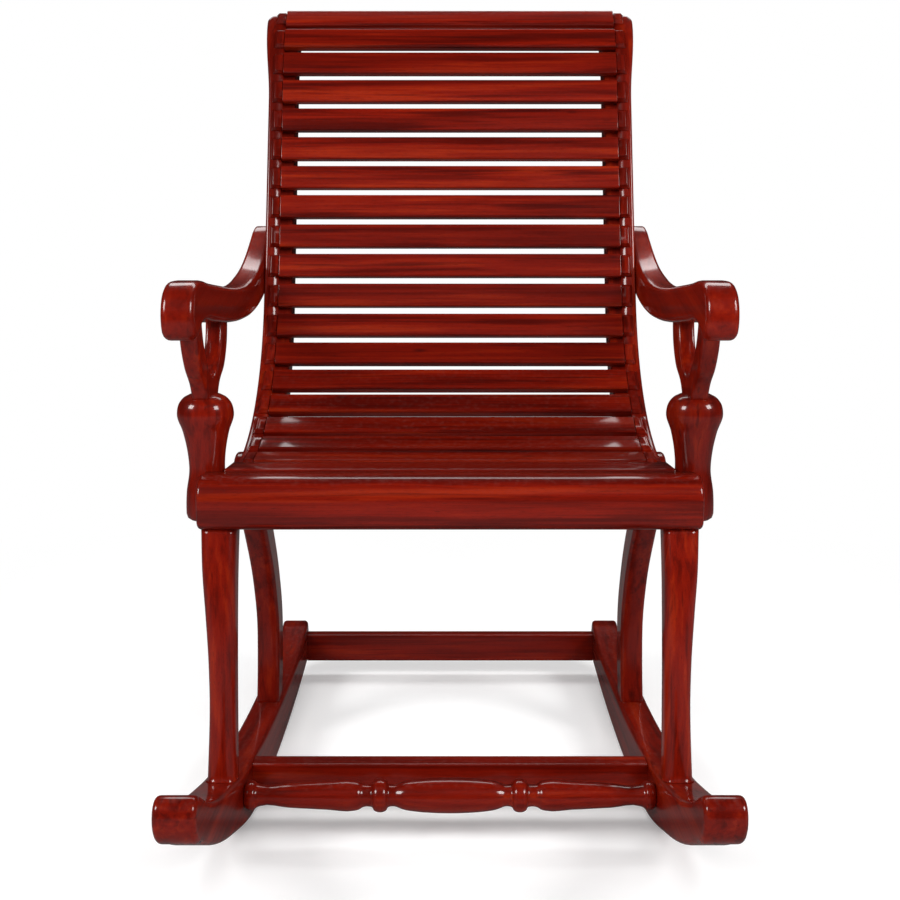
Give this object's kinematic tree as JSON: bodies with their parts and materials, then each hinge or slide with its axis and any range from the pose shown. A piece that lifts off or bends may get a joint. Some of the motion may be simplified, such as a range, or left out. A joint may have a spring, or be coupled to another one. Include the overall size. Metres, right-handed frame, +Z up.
{
  "type": "rocking chair",
  "caption": "Slatted wooden rocking chair with a deep curved seat and tall leaning back, arms on forked turned posts, and long curved rockers, in a glossy dark red finish.",
  "frame": {"origin": "on the floor, at the middle of the chair's footprint box, midway between the rockers", "axes": "+Z up; the sitter faces -Y; +X is to the right of a viewer who looks at the chair's front"},
  "size_m": [0.663, 0.8663, 1.0967],
  "materials": {
    "red_hardwood": "gloss lacquer",
    "peg_wood": "bare"
  },
  "bodies": {
    "root": {"arm_left": "red_hardwood", "arm_pegs": "peg_wood", "arm_post_left": "red_hardwood", "arm_post_right": "red_hardwood", "arm_right": "red_hardwood", "back_leg_left": "red_hardwood", "back_leg_pegs": "peg_wood", "back_leg_right": "red_hardwood", "back_stile_left": "red_hardwood", "back_stile_right": "red_hardwood", "front_leg_left": "red_hardwood", "front_leg_right": "red_hardwood", "front_rail": "red_hardwood", "mid_stretcher": "red_hardwood", "post_pegs": "peg_wood", "rear_stretcher": "red_hardwood", "rocker_left": "red_hardwood", "rocker_right": "red_hardwood", "seat_front_board": "red_hardwood", "seat_rail_left": "red_hardwood", "seat_rail_right": "red_hardwood", "slat_01": "red_hardwood", "slat_02": "red_hardwood", "slat_03": "red_hardwood", "slat_04": "red_hardwood", "slat_05": "red_hardwood", "slat_06": "red_hardwood", "slat_07": "red_hardwood", "slat_08": "red_hardwood", "slat_09": "red_hardwood", "slat_10": "red_hardwood", "slat_11": "red_hardwood", "slat_12": "red_hardwood", "slat_13": "red_hardwood", "slat_14": "red_hardwood", "slat_15": "red_hardwood", "slat_16": "red_hardwood", "slat_17": "red_hardwood", "slat_18": "red_hardwood", "slat_pegs_left": "peg_wood", "slat_pegs_right": "peg_wood", "turned_stretcher": "red_hardwood"}
  },
  "joints": []
}
